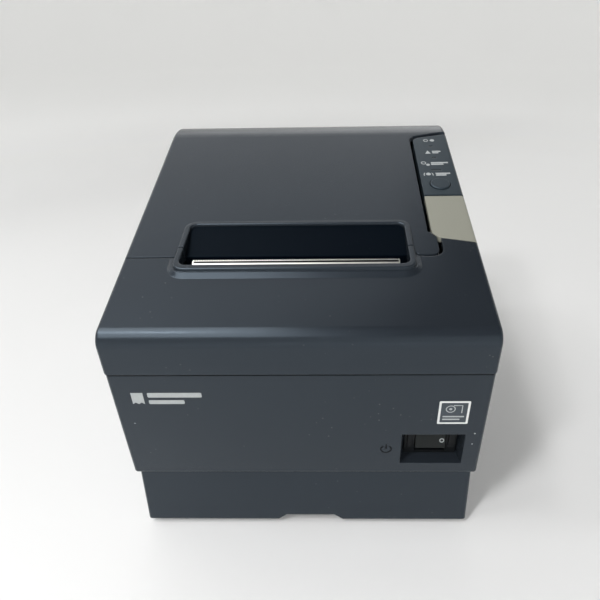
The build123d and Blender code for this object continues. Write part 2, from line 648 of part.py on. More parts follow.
def switch_pocket(grow, depth):
    """Tapered pocket in the front for the power switch, with a sloping lower ledge."""
    mouth = front_frame(SWITCH_X, SWITCH_Z, -0.6) * Rectangle(SWITCH_W + 2 * grow, SWITCH_H + 2 * grow)
    back = front_frame(SWITCH_X - 0.2, HOUSING_Z, depth) * \
        Rectangle(SWITCH_W - 3.4 + 2 * grow, SWITCH_H - 4.2 + 2 * grow)
    return loft([mouth.face(), back.face()])


def main_case():
    z = (PLINTH_TOP, PARTING)
    half = HALF_W - 0.1
    outline = case_outline(0, z)
    profile = round_corner(make_face(Polyline(*outline, close=True)), outline[0], FOOT_ROLL)
    body = extrude(Plane.YZ.offset(-half) * profile, amount=2 * half)
    sides = body.edges().filter_by(lambda e: abs(e.center().X) > half - 0.1)
    sides = sides.filter_by(lambda e: e.center().Z < PARTING - 0.1)
    body = fillet(sides, CORNER_R)
    inner_z = (PLINTH_TOP + 2.0, PARTING + 1)
    body -= prism_x(case_outline(WALL, inner_z), (-half + WALL, half - WALL))
    body -= block((-67, 67), (-80.5, 92.0), (30, 40))
    body -= block((-BAY_X, BAY_X), (85, 110), (30, BAY_Z))
    body = add_switch_pocket(body)
    for sign in (-1, 1):
        body += hinge_ear((60.0, 64.0) if sign > 0 else (-64.0, -60.0))
        for y in SCREW_YS:
            x = sign * SCREW_X
            body += block(sorted((x - sign * 3.5, sign * 71.0)), (y - 3.5, y + 3.5), (36.0, 47.0))
            body -= rod_z(1.55, x, y, (30, 44))
    return body


def hinge_ear(span):
    """Upright ear on the rear wall that holds one hinge pin."""
    stem = [(HINGE_Y - 4.4, HINGE_Z), (HINGE_Y + 4.4, HINGE_Z), (HINGE_Y + 4.4, 84), (REAR_Y - 1, 82),
            (REAR_Y - 1, 62), (HINGE_Y - 4.4, 76)]
    ear = prism_x(stem, span) + rod_x(4.4, span, HINGE_Y, HINGE_Z)
    return ear - rod_x(PIN_R, (span[0] - 1, span[1] + 1), HINGE_Y, HINGE_Z)


def add_switch_pocket(body):
    inside = prism_x(case_outline(0.5, (PLINTH_TOP + 1, PARTING)), (0, 70))
    body += switch_pocket(1.6, SWITCH_DEPTH + 1.6) & inside
    body -= switch_pocket(0, SWITCH_DEPTH)
    hole = front_frame(SWITCH_X, HOUSING_Z, SWITCH_DEPTH) * Pos(0, 0, -8) * Box(15.4, 12.6, 22)
    return body - hole


def power_switch():
    """Housing snapped into the pocket, and its rocker on a cross pivot."""
    place = front_frame(SWITCH_X, HOUSING_Z, SWITCH_DEPTH)
    body = Pos(0, 0, 0.9) * Box(21.4, 13.0, 1.8) + Pos(0, 0, -6.5) * Box(15.0, 12.2, 13.0)
    for x, width in ((-8.6, 1.8), (8.7, 2.4)):
        body += Pos(x, 2.1, 2.2) * Box(width, 8.4, 1.0)
    body -= Pos(0, 0, -1.6) * Box(12.9, 11.0, 8.0)
    for x in (-4, 4):
        body += Pos(x, 0, -14.5) * Box(1.0, 4.8, 4.0)
    pivot_z = -1.0
    outline = [(-4.9, -1.2), (-4.9, 0.5), (-2.2, 3.1), (4.9, 1.0), (4.9, -1.2)]
    rocker = extrude(Plane.YZ.offset(-6.15) * make_face(Polyline(*outline, close=True)), amount=12.3)
    rocker = fillet(rocker.edges().filter_by(Axis.X).filter_by(lambda e: e.center().Z > 0), 0.35)
    rocker += rod_x(3.9, (-6.15, 6.15), 0, pivot_z) & (Pos(0, 0, -4) * Box(12.3, 9.0, 6.0))
    rocker -= rod_x(0.8 + RUN, (-7, 7), 0, pivot_z)
    pin = rod_x(0.8, (-7.3, 7.3), 0, pivot_z)
    save("switch_housing", place * (body - pin))
    save("switch_pivot", place * pin)
    save("power_rocker", place * rocker)


def base_pan():
    """Plinth tray: outer walls, floor, posts and stand-offs."""
    span_z = (FOOT_H, PLINTH_TOP - 0.08)
    outer = rounded_box((-PLINTH_HALF, PLINTH_HALF), (PLINTH_FRONT, PLINTH_REAR), span_z, CORNER_R)
    low = outer.edges().filter_by(lambda e: abs(e.center().Z - FOOT_H) < 0.01)
    pan = fillet(low, 0.8)
    pan -= block((-PLINTH_HALF + WALL, PLINTH_HALF - WALL), (PLINTH_FRONT + WALL, PLINTH_REAR - WALL),
                 (FOOT_H + WALL, 40))
    pan += lip_ring()
    pan -= block((-BAY_X, BAY_X), (BAY_Y + 1.2, 100), (FOOT_H + WALL, 40))
    notch = [(-14.2, FOOT_H - 1), (-8.6, 5.6), (12.6, 5.6), (18.2, FOOT_H - 1)]
    face = Plane.XZ.offset(-PLINTH_FRONT - 4) * make_face(Polyline(*notch, close=True))
    pan -= extrude(face, amount=6)
    for sign in (-1, 1):
        for y in POST_YS:
            pan += rod_z(3.5, sign * POST_X, y, (FOOT_H + WALL - 0.2, DECK_Z))
        for y in SCREW_YS:
            pan += rod_z(3.4, sign * SCREW_X, y, (FOOT_H + WALL - 0.2, 35.8))
            pan -= rod_z(1.6, sign * SCREW_X, y, (0, 40))
            pan -= rod_z(3.1, sign * SCREW_X, y, (0, 9.0))
        for y in (-50, 50):
            pan += rod_z(2.5, sign * 48.0, y, (FOOT_H + WALL - 0.2, 12.0))
        for y in FEET_Y:
            pan -= rod_z(7.1, sign * FEET_X, y, (FOOT_H - 1, FOOT_H + 0.6))
    pan -= rounded_box((18, 48), (6, 34), (0, 8), 2)
    return pan


def lip_ring():
    """Inner lip that rises into the case."""
    x, y = PLINTH_HALF - WALL - 1.7, (PLINTH_FRONT + WALL + 1.7, PLINTH_REAR - WALL - 2.4)
    outer = block((-x, x), y, (26, PLINTH_TOP + 2.4))
    inner = block((-x + 1.4, x - 1.4), (y[0] + 1.4, y[1] - 1.4), (20, 40))
    bridge = block((-PLINTH_HALF + 1, PLINTH_HALF - 1), (PLINTH_FRONT + 1, PLINTH_REAR - 1), (26, 28))
    bridge -= block((-x + 1.4, x - 1.4), (y[0] + 1.4, y[1] - 1.4), (20, 40))
    return outer - inner + bridge


FEET_X, FEET_Y = 55.0, (-70.0, 80.0)


def rubber_feet():
    feet = []
    for x in (-FEET_X, FEET_X):
        for y in FEET_Y:
            pad = rod_z(7.0, x, y, (0, FOOT_H + 0.6))
            low = pad.edges().filter_by(lambda e: e.center().Z < 0.1)
            feet.append(fillet(low, 0.5))
    return group(feet)


def case_screws():
    return group([screw_z(sign * SCREW_X, y, (7.0, 9.0), (9.0, 43.0))
                  for sign in (-1, 1) for y in SCREW_YS])


def switch_hatch():
    """Small cover in the floor over the setting switches."""
    plate = rounded_box((18.3, 47.7), (6.3, 33.7), (3.0, 4.6), 1.8)
    plate += block((19.5, 46.5), (4.8, 35.2), (4.7, 5.6)) + block((20, 46), (8, 32), (4.5, 4.8))
    return plate - rod_z(4.0, 33, 20, (2.0, 3.6))


# ---------------------------------------------------------------- electronics
def main_board():
    board = block((-54, 54), (-56, 58), (12.0, 13.6))
    for sign in (-1, 1):
        for y in (-50, 50):
            board -= rod_z(1.4, sign * 48, y, (10, 15))
    return board


def board_components():
    items = [block((-20, 4), (-14, 10), (13.6, 16.0)), block((20, 34), (-30, -16), (13.6, 15.6)),
             block((-46, -22), (24, 34), (13.6, 22.0)), block((30, 44), (24, 44), (13.6, 20.0))]
    for k in range(3):
        items.append(rod_z(5.0, -36 + 13 * k, -36, (13.6, 29.0)))
    for k in range(4):
        items.append(block((6 + 10 * k, 13 + 10 * k), (-50, -44), (13.6, 20.0)))
    return group(items)


def setting_switches():
    items = [block((23, 43), (y, y + 7), (7.6, 12.0)) for y in (10, 23)]
    return group(items)


SOCKETS = {"power_inlet": (-51, -35), "drawer_socket": (-25, -10), "usb_socket": (1, 14),
           "network_socket": (25, 41)}
SOCKET_Z = (23.6, 37.2)
SOCKET_Y = (62.0, 81.0)


def interface():
    """Connector board, its steel plate and the sockets that look out of the rear bay."""
    half = SCREW_X - 3.4 - SEAM
    board = block((-53.5, 53.5), (30, 77), (22.0, 23.6))
    plate = block((-half, half), (BAY_Y, BAY_Y + 1.0), (5.2, BAY_Z - 0.5))
    plate -= rod_y(1.6, -55, (75, 85), 32) + rod_y(1.6, 55, (75, 85), 32)
    plate += block((-half, half), (72, BAY_Y), (20.8, 22.0))
    for name, x in SOCKETS.items():
        plate -= block((x[0] - 0.2, x[1] + 0.2), (75, 85), (SOCKET_Z[0] - 0.2, SOCKET_Z[1] + 0.2))
    save("interface_board", board)
    save("interface_plate", plate)
    screws = []
    for x in (-55, 55):
        head = rod_y(3.0, x, (BAY_Y + 1.0, BAY_Y + 3.0), 32)
        for size in ((3.4, 0.8), (0.8, 3.4)):
            head -= Pos(x, BAY_Y + 3.0, 32) * Box(size[0], 2.0, size[1])
        screws.append(head + rod_y(1.5, x, (73, BAY_Y + 1.2), 32))
    save("interface_screws", group(screws))
    save("power_inlet", power_inlet())
    save("drawer_socket", jack(SOCKETS["drawer_socket"], 4.9, 7.2, 4))
    save("network_socket", jack(SOCKETS["network_socket"], 5.9, 8.2, 8))
    save("usb_socket", usb_socket())


def socket_block(x):
    return block(x, SOCKET_Y, SOCKET_Z)


def jack(x, half, height, contacts):
    """Modular jack with a latch notch and a row of contacts at the back of its mouth."""
    mid = (x[0] + x[1]) / 2
    low = SOCKET_Z[0] + 2.0
    body = socket_block(x) - block((mid - half, mid + half), (66, 82), (low, low + height))
    body -= block((mid - 1.8, mid + 1.8), (66, 82), (low + height - 0.1, low + height + 2.0))
    for k in range(contacts):
        wire_x = mid + (k - (contacts - 1) / 2) * 1.02
        body += block((wire_x - 0.25, wire_x + 0.25), (65.9, 72), (low - 0.1, low + 1.0))
    return body


def usb_socket():
    x = SOCKETS["usb_socket"]
    mid = sum(x) / 2
    z = sum(SOCKET_Z) / 2
    body = socket_block(x) - block((mid - 4.3, mid + 4.3), (68, 82), (z - 4.0, z + 4.0))
    return body + block((mid - 2.8, mid + 2.8), (67.9, 76), (z - 1.6, z + 1.6))


def power_inlet():
    x = SOCKETS["power_inlet"]
    mid = sum(x) / 2
    z = sum(SOCKET_Z) / 2
    body = socket_block(x) - rod_y(5.6, mid, (70, 82), z)
    for k in range(3):
        angle = radians(90 + 120 * k)
        body += rod_y(0.6, mid + 3.4 * cos(angle), (69.9, 77), z + 3.4 * sin(angle))
    return body


def head_cable():
    """Flat cable from the print head down through the deck to the main board."""
    outline = [(-61.6, 99), (-61.0, 99), (-61.0, 78), (-50.4, 47), (-50.4, 14.2), (-51.0, 14.2),
               (-51.0, 46.8), (-61.6, 77.8)]
    return prism_x(outline, (-18, 12))


# ---------------------------------------------------------------- control panel and lever
LEVER_Y, LEVER_Z = -17.0, 121.5
PANEL_FRONT_Y = LEVER_REAR_Y + 1.2
BUTTON_X, BUTTON_Y, BUTTON_R = 63.0, -4.1, 4.6
LAMPS = ((62.8, 30.4, 2.0), (63.2, 19.4, 2.0), (62.9, 8.15, 5.0))


def control_panel(shell):
    """Fixed strip beside the lid, with a side skirt, an inner wall and ribs for the lever pin."""
    taller = shell + (cover_solid_side())
    body = taller & prism_z(strip_outline(0)[:3] + [(STRIP_X, PANEL_FRONT_Y), (80, PANEL_FRONT_Y)],
                            (80, 160))
    wedge = [(-46.8, 80), (-46.8, lid_z(-46.8) - 21.5), (PANEL_FRONT_Y + 1, lid_z(LEVER_REAR_Y) - 16.6),
             (PANEL_FRONT_Y + 1, 80)]
    body += taller & prism_x(wedge, (70, 73)) & prism_z(strip_outline(0), (80, 160))
    body += prism_x([(PANEL_FRONT_Y, 104), (PANEL_FRONT_Y, lid_z(PANEL_FRONT_Y, 1)),
                     (36, lid_z(36, 1)), (36, 104)], (STRIP_X, STRIP_X + 1.6))
    rib = [(-19.8, 119.2), (-19.8, 121.5), (-17.0, 124.3), (-14, 124.3), (-10.5, 127.5), (-10.5, 108)]
    for span in ((56.6, 58.2), (67.6, 69.2)):
        body += prism_x(rib, span) - rod_x(1.5, (50, 72), LEVER_Y, LEVER_Z)
    body += block((STRIP_X, 70.5), (-12.2, -10.5), (104, lid_z(-12.2, 1.5)))
    body -= on_lid(BUTTON_X, BUTTON_Y) * Cylinder(BUTTON_R + 0.3, 8)
    for x, y, length in LAMPS:
        body -= on_lid(x, y) * Box(length, 1.0, 8)
    return body


def cover_solid_side():
    """Side skin brought down to the case edge, where the panel is screwed on."""
    return block((HALF_W - WALL, HALF_W), (-46.8, 46), (PARTING, PARTING + 1))


def status_lenses():
    lenses = []
    for x, y, length in LAMPS:
        lens = on_lid(x, y) * Pos(0, 0, -2.55) * Box(length - 0.1, 0.9, 4.8)
        lenses.append(lens)
    return group(lenses)


def feed_button():
    cap = Pos(0, 0, -1.4) * Cylinder(BUTTON_R, 4.0)
    cap = fillet(cap.edges().filter_by(lambda e: e.center().Z > 0), 0.5)
    flange = Pos(0, 0, -3.0) * Cylinder(BUTTON_R + 1.0, 1.0)
    return on_lid(BUTTON_X, BUTTON_Y) * (cap + flange)


def panel_board():
    board = on_lid(63.2, 13.0, 7.2) * Box(12.4, 44.0, 1.2)
    key = on_lid(BUTTON_X, BUTTON_Y, 6.0) * Box(6.0, 6.0, 1.4)
    return board + key


def open_lever(shell):
    """Press lever: top plate with a side skirt, pivot boss and a finger that works the latch."""
    region = prism_z([(x, y) for x, y in lever_outline()], (80, 160))
    skirt = prism_x([(-60, lid_z(-60) - 16), (0, lid_z(0) - 16), (0, 170), (-60, 170)], (50, 80))
    plate = shell & region & skirt
    span = (58.8, 67.0)
    boss = prism_x([(-20.4, 121), (-22.0, lid_z(-22, 1.0)), (-14.2, lid_z(-14.2, 1.0)), (-14.0, 121)], span)
    boss += rod_x(3.4, span, LEVER_Y, LEVER_Z)
    finger = prism_x([(-20.2, 121), (-18.6, 103.6), (-16.0, 103.6), (-14.0, 121)], (58.8, 61.0))
    top, low = lid_z(LEVER_REAR_Y) - 4, lid_z(LEVER_REAR_Y) - 20
    swing = [(LEVER_REAR_Y + 1, top), (LEVER_REAR_Y + 1, low), (LEVER_REAR_Y - 2.6, low), (LEVER_REAR_Y, top)]
    body = plate - prism_x(swing, (66, 80)) + boss + finger
    return body - rod_x(1.5 + RUN, (50, 72), LEVER_Y, LEVER_Z)


def lever_pin():
    return rod_x(1.5, (56.6, 69.2), LEVER_Y, LEVER_Z)


# ---------------------------------------------------------------- write every node
def build():
    shell = cover_shell()
    ring = rim_ring()
    save("front_cover", front_cover(shell, ring))
    save("tear_bar", tear_bar())
    save("paper_cover", paper_cover(shell, ring))
    save("exit_guide", exit_guide())
    save("platen_arms", platen_arms())
    save("lid_liner", lid_liner())
    save("fixed_blade", fixed_blade())
    save("hinge_pins", hinge_pins())
    save("platen_roller", platen_roller())
    save("platen_shaft", platen_shaft())
    save("platen_bushes", platen_bushes())
    gear_train()
    mechanism_frame()
    latch()
    thermal_head()
    cutter()
    save("paper_bucket", paper_bucket())
    save("near_end_lever", near_end_lever())
    save("near_end_bracket", near_end_bracket())
    save("paper_sensor", paper_sensor())
    save("main_case", main_case())
    power_switch()
    save("base_pan", base_pan())
    save("rubber_feet", rubber_feet())
    save("case_screws", case_screws())
    save("switch_hatch", switch_hatch())
    save("main_board", main_board())
    save("board_components", board_components())
    save("setting_switches", setting_switches())
    interface()
    save("head_cable", head_cable())
    save("control_panel", control_panel(shell))
    save("status_lenses", status_lenses())
    save("feed_button", feed_button())
    save("panel_board", panel_board())
    save("open_lever", open_lever(shell))
    save("lever_pin", lever_pin())


build()
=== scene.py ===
"""Looks of the receipt printer: materials, printed marks, floor, light and camera around the CAD frame."""
import json
import math

import bmesh
import bpy
from mathutils import Matrix, Vector
from mathutils.bvhtree import BVHTree


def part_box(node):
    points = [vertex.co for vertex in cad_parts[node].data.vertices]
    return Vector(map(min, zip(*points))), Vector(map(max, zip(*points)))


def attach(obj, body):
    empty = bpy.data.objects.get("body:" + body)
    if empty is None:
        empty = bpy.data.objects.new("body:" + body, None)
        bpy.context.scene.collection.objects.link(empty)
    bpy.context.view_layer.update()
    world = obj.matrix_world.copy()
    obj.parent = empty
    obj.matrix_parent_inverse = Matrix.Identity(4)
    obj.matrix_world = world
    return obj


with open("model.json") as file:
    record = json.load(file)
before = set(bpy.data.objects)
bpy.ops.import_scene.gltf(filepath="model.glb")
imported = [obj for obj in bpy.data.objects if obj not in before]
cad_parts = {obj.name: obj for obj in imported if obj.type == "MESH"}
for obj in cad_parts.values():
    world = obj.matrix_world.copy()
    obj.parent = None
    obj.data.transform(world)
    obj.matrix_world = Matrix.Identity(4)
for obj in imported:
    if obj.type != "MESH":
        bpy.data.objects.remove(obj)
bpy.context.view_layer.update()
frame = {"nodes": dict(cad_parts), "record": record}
MM = 0.001
NOISE_SPAN = (0.1, 0.9)      # the range that smooth noise covers, so that nothing is cut off level


# ---------------------------------------------------------------- node material helpers
class Paint:
    """A node material with a Principled shader and a few texture helpers in object space."""

    def __init__(self, name, color, roughness, metallic=0.0, gloss=None):
        """gloss is the specular level, then the colour of the specular tint."""
        self.mat = bpy.data.materials.new(name)
        self.mat.use_nodes = True
        self.nodes = self.mat.node_tree.nodes
        self.links = self.mat.node_tree.links
        self.shader = self.nodes["Principled BSDF"]
        self.shader.inputs["Base Color"].default_value = (*color, 1)
        self.shader.inputs["Roughness"].default_value = roughness
        self.shader.inputs["Metallic"].default_value = metallic
        if gloss:
            self.shader.inputs["Specular IOR Level"].default_value = gloss[0]
            self.shader.inputs["Specular Tint"].default_value = (*gloss[1:], 1)
        self.color = color
        self.coord = self.nodes.new("ShaderNodeTexCoord").outputs["Object"]

    def stretch(self, scale):
        """Object coordinates scaled per axis, for brushed and extruded grain."""
        mapping = self.nodes.new("ShaderNodeMapping")
        mapping.inputs["Scale"].default_value = scale
        self.links.new(self.coord, mapping.inputs["Vector"])
        return mapping.outputs["Vector"]

    def noise(self, size, detail=2.0, source=None):
        """Noise whose features are about size metres across."""
        tex = self.nodes.new("ShaderNodeTexNoise")
        tex.inputs["Scale"].default_value = 1 / size
        tex.inputs["Detail"].default_value = detail
        self.links.new(source or self.coord, tex.inputs["Vector"])
        return tex.outputs["Fac"]

    def cells(self, size):
        """Distance to the nearest of scattered points about size metres apart."""
        tex = self.nodes.new("ShaderNodeTexVoronoi")
        tex.inputs["Scale"].default_value = 1 / size
        self.links.new(self.coord, tex.inputs["Vector"])
        return tex.outputs["Distance"]

    def remap(self, value, low, high, to_low=0.0, to_high=1.0):
        """Straight line from (low, to_low) to (high, to_high), level beyond them."""
        node = self.nodes.new("ShaderNodeMapRange")
        for socket, number in (("From Min", low), ("From Max", high), ("To Min", to_low), ("To Max", to_high)):
            node.inputs[socket].default_value = number
        self.links.new(value, node.inputs["Value"])
        return node.outputs["Result"]

    def tint(self, mask, color, base=None):
        """Mixes color over the present base colour where mask is 1."""
        mix = self.nodes.new("ShaderNodeMix")
        mix.data_type = "RGBA"
        self.links.new(mask, mix.inputs["Factor"])
        present = self.shader.inputs["Base Color"].links
        if present:
            self.links.new(present[0].from_socket, mix.inputs["A"])
        else:
            mix.inputs["A"].default_value = (*(base or self.color), 1)
        mix.inputs["B"].default_value = (*color, 1)
        self.links.new(mix.outputs["Result"], self.shader.inputs["Base Color"])

    def mottle(self, size, amount, detail=3.0):
        """Slow drift of the colour to amount darker and lighter."""
        value = self.noise(size, detail)
        dark = tuple(c * (1 - amount) for c in self.color)
        light = tuple(min(1.0, c * (1 + amount)) for c in self.color)
        self.tint(self.remap(value, *NOISE_SPAN), light, base=dark)

    def vary_roughness(self, size, low, high, detail=3.0):
        """Slow drift of the roughness from low to high."""
        value = self.remap(self.noise(size, detail), *NOISE_SPAN, low, high)
        self.links.new(value, self.shader.inputs["Roughness"])

    def bump(self, height, depth, strength=1.0):
        """Adds a bump of depth metres on top of the bumps already there."""
        node = self.nodes.new("ShaderNodeBump")
        node.inputs["Distance"].default_value = depth
        node.inputs["Strength"].default_value = strength
        self.links.new(height, node.inputs["Height"])
        present = self.shader.inputs["Normal"].links
        if present:
            self.links.new(present[0].from_socket, node.inputs["Normal"])
        self.links.new(node.outputs["Normal"], self.shader.inputs["Normal"])

    def soft_edges(self, radius):
        """Rounds the shading of hard edges, as on moulded and deburred parts."""
        node = self.nodes.new("ShaderNodeBevel")
        node.samples = 6
        node.inputs["Radius"].default_value = radius
        self.links.new(node.outputs["Normal"], self.shader.inputs["Normal"])

    def dust(self, size, amount, color=(0.42, 0.42, 0.40)):
        """Sparse pale specks."""
        spots = self.remap(self.cells(size), 0.0, 0.10, 1.0, 0.0)
        patches = self.remap(self.noise(size * 9, 1.0), 0.5, 0.68)
        both = self.nodes.new("ShaderNodeMath")
        both.operation = "MULTIPLY"
        self.links.new(spots, both.inputs[0])
        self.links.new(patches, both.inputs[1])
        self.tint(self.remap(both.outputs["Value"], 0.0, 1.0, 0.0, amount), color)


ROUGHNESS_DRIFT = 0.03       # moulded plastic is this much smoother and rougher in places


def moulded(name, color, roughness, grain=0.00045, depth=0.000012, mottle=0.05, dust=0.0, edge=0.0004,
            gloss=None):
    """Injection-moulded plastic: spark-eroded grain, faint flow marks and worn patches."""
    paint = Paint(name, color, roughness, gloss=gloss)
    paint.soft_edges(edge)
    paint.mottle(0.045, mottle)
    paint.vary_roughness(0.05, roughness - ROUGHNESS_DRIFT, roughness + ROUGHNESS_DRIFT, 1.0)
    paint.bump(paint.noise(0.02, 1.0), 0.00010, 0.6)
    paint.bump(paint.noise(grain, 2.0), depth)
    if dust:
        paint.dust(0.004, dust)
    return paint


def sheet_metal(name, color, roughness, brushed=(1, 1, 1), edge=0.00025):
    """Plated or ground metal with fine directional scratches."""
    paint = Paint(name, color, roughness, metallic=1.0)
    paint.soft_edges(edge)
    paint.mottle(0.012, 0.06)
    grain = paint.noise(0.00025, 3.0, paint.stretch(brushed))
    paint.links.new(paint.remap(grain, 0.3, 0.7, roughness - 0.07, roughness + 0.1),
                    paint.shader.inputs["Roughness"])
    paint.bump(grain, 0.000004)
    return paint


def rubber(name, color, roughness):
    """Matte rubber with an uneven, slightly worn skin."""
    paint = Paint(name, color, roughness)
    paint.soft_edges(0.0003)
    paint.mottle(0.006, 0.18)
    paint.bump(paint.noise(0.0006, 3.0), 0.00002)
    return paint


def circuit_board(name):
    """Solder mask over copper tracks, with a scatter of pads."""
    paint = Paint(name, (0.012, 0.09, 0.035), 0.32)
    brick = paint.nodes.new("ShaderNodeTexBrick")
    brick.inputs["Scale"].default_value = 260
    brick.inputs["Mortar Size"].default_value = 0.012
    paint.links.new(paint.coord, brick.inputs["Vector"])
    paint.tint(brick.outputs["Fac"], (0.03, 0.16, 0.06))
    paint.tint(paint.remap(paint.cells(0.0045), 0.10, 0.13, 1.0, 0.0), (0.45, 0.43, 0.36))
    paint.bump(brick.outputs["Fac"], 0.00003)
    return paint


# ---------------------------------------------------------------- materials of the CAD slots
# specular level, then the colour of the specular tint
NAVY_GLOSS = (0.40, 0.67, 0.83, 0.98)
DARK_GLOSS = (0.04, 0.60, 0.85, 1.0)
BLACK_GLOSS = (0.14, 1.0, 1.0, 1.0)
INK_GLOSS = (0.08, 1.0, 1.0, 1.0)


def glazed(name, color, roughness, drift, amount, grain):
    """Smooth hard surface, such as a lens or a ceramic, whose colour drifts by amount over drift metres."""
    paint = Paint(name, color, roughness)
    paint.mottle(drift, amount)
    paint.bump(paint.noise(grain), 0.000004)
    return paint


def slot_paints():
    """One material for each material slot of the CAD record."""
    paints = {
        "case_plastic": moulded("case_plastic", (0.0146, 0.0182, 0.0228), 0.24, depth=0.00002, dust=0.22,
                                gloss=NAVY_GLOSS),
        "panel_plastic": moulded("panel_plastic", (0.020, 0.028, 0.034), 0.36, grain=0.0003, depth=0.000008,
                                 gloss=NAVY_GLOSS),
        # inner_plastic is a dark plastic, made darker still as painted shade for the paper recess, whose
        # inside lies in shade
        "inner_plastic": moulded("inner_plastic", (0.001, 0.0022, 0.0042), 0.45, dust=0.02, gloss=DARK_GLOSS),
        "light_plastic": moulded("light_plastic", (0.55, 0.55, 0.51), 0.45),
        "black_plastic": moulded("black_plastic", (0.006, 0.007, 0.008), 0.45, edge=0.0002, gloss=BLACK_GLOSS),
        "black_gloss": moulded("black_gloss", (0.013, 0.015, 0.015), 0.34, depth=0.000004, edge=0.0003,
                               gloss=BLACK_GLOSS),
        "lever_plastic": moulded("lever_plastic", (0.225, 0.225, 0.185), 0.42, depth=0.000008, mottle=0.03),
        "gear_plastic": moulded("gear_plastic", (0.62, 0.61, 0.56), 0.35, depth=0.000003, edge=0.0001),
        "knob_plastic": moulded("knob_plastic", (0.03, 0.22, 0.09), 0.4, edge=0.0002),
        "cable_plastic": moulded("cable_plastic", (0.62, 0.62, 0.58), 0.3, depth=0.000002, edge=0.0001),
        "component_plastic": moulded("component_plastic", (0.02, 0.02, 0.022), 0.5, edge=0.0002),
        "switch_plastic": moulded("switch_plastic", (0.35, 0.03, 0.02), 0.4, edge=0.0002),
        "rubber": rubber("rubber", (0.016, 0.016, 0.016), 0.75),
        "platen_rubber": rubber("platen_rubber", (0.022, 0.022, 0.024), 0.6),
        "circuit_board": circuit_board("circuit_board"),
        "brass": sheet_metal("brass", (0.72, 0.52, 0.22), 0.3),
        "steel": sheet_metal("steel", (0.53, 0.515, 0.48), 0.36, brushed=(0.08, 1, 1)),
        "zinc_steel": sheet_metal("zinc_steel", (0.55, 0.57, 0.6), 0.42, brushed=(1, 1, 0.15)),
        "screw_steel": sheet_metal("screw_steel", (0.45, 0.45, 0.44), 0.38),
        "socket_metal": sheet_metal("socket_metal", (0.7, 0.7, 0.69), 0.26, brushed=(1, 0.1, 1)),
        "aluminium": sheet_metal("aluminium", (0.72, 0.73, 0.74), 0.36, brushed=(0.06, 1, 1)),
        "lens_plastic": glazed("lens_plastic", (0.03, 0.035, 0.035), 0.22, 0.003, 0.2, 0.0004),
        "head_ceramic": glazed("head_ceramic", (0.10, 0.075, 0.055), 0.18, 0.004, 0.1, 0.0008),
    }
    return {slot: paint.mat for slot, paint in paints.items()}


def paint_frame(paints):
    """Gives every CAD node the material of its slot."""
    slot_of = {part["node"]: part["material_slot"] for part in frame["record"]["subparts"]}
    for node, obj in frame["nodes"].items():
        for slot in obj.material_slots:
            slot.material = paints[slot_of[node]]


# ---------------------------------------------------------------- mesh helpers
def bridge(bm, one, two):
    """Quads between two closed loops of vertices with the same number of points."""
    for i in range(len(one)):
        k = (i + 1) % len(one)
        bm.faces.new((one[i], one[k], two[k], two[i]))


def link_mesh(name, bm, material):
    """Turns a bmesh into an object of the scene."""
    mesh = bpy.data.meshes.new(name)
    bm.to_mesh(mesh)
    bm.free()
    mesh.materials.append(material)
    obj = bpy.data.objects.new(name, mesh)
    bpy.context.scene.collection.objects.link(obj)
    return obj


# ---------------------------------------------------------------- printed marks
# directions in which a print is thrown onto the object
FRONT, LID, REAR, UNDER = (0, 1, 0), (0, 0, -1), (0, -1, 0), (0, 0, 1)
REACH = 0.3                               # a throw starts this many metres from the frame's origin
# a print's underside and top stand this far off its surface, in metres
INK_LOW, INK_HIGH = 0.000006, 0.00005
LABEL_BASE, LABEL_FIELD, LABEL_ART = (0.000006, 0.00009), (0.000092, 0.00011), (0.000112, 0.00013)
PLATE_BASE, PLATE_LINES = (0.000006, 0.0001), (0.000104, 0.00013)


class Print:
    """Closed flat shapes laid on a CAD node.

    They are given in mm in the plane across the throw direction, from the middle of the box of the node
    named by beside, or of the node itself.
    """

    def __init__(self, node, throw, beside=None, low=INK_LOW, high=INK_HIGH):
        source = bmesh.new()
        source.from_mesh(frame["nodes"][node].data)
        self.tree = BVHTree.FromBMesh(source)
        source.free()
        self.throw = Vector(throw)
        self.low, self.high = low, high
        self.bm = bmesh.new()
        self.about(beside or node)

    def about(self, node):
        """Puts the origin of the next shapes at the middle of a node's box."""
        low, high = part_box(node)
        self.origin = (low + high) / 2

    def lift(self, u, v):
        """The two points above and below the print's skin at (u, v)."""
        start = self.origin + Vector((u, v, 0) if self.throw.z else (u, 0, v)) * MM
        start -= self.throw * (start.dot(self.throw) + REACH)
        place, normal, _, _ = self.tree.ray_cast(start, self.throw)
        return place + normal * self.high, place + normal * self.low

    def loop(self, points, level):
        """Vertices along points, on the print's top at level 0 or its underside at level 1."""
        return [self.bm.verts.new(self.lift(*point)[level]) for point in points]

    def shape(self, points):
        """Closed thin plate with the outline points."""
        top, bottom = self.loop(points, 0), self.loop(points, 1)
        bridge(self.bm, top, bottom)
        self.bm.faces.new(top)
        self.bm.faces.new(bottom)

    def band(self, outer, inner):
        """Closed outline between two loops with the same number of points."""
        loops = [self.loop(outer, 0), self.loop(inner, 0), self.loop(inner, 1), self.loop(outer, 1)]
        for one, two in zip(loops, loops[1:] + loops[:1]):
            bridge(self.bm, one, two)

    def disc(self, u, v, radius):
        self.shape(arc(u, v, radius))

    def ring(self, u, v, radius, width):
        self.band(arc(u, v, radius), arc(u, v, radius - width))

    def bar(self, u, v, radius=0.25):
        self.shape(round_rect(u, v, radius))

    def border(self, u, v, width, radius=0.4):
        """Rectangular outline, width wide on the inside of u and v."""
        inner = ((u[0] + width, u[1] - width), (v[0] + width, v[1] - width))
        self.band(round_rect(u, v, radius), round_rect(*inner, radius * 0.6))

    def done(self, name, body, material):
        """Makes the piece of all shapes so far and lets it ride on a body."""
        bmesh.ops.recalc_face_normals(self.bm, faces=self.bm.faces)
        obj = link_mesh(name, self.bm, material)
        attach(obj, body)


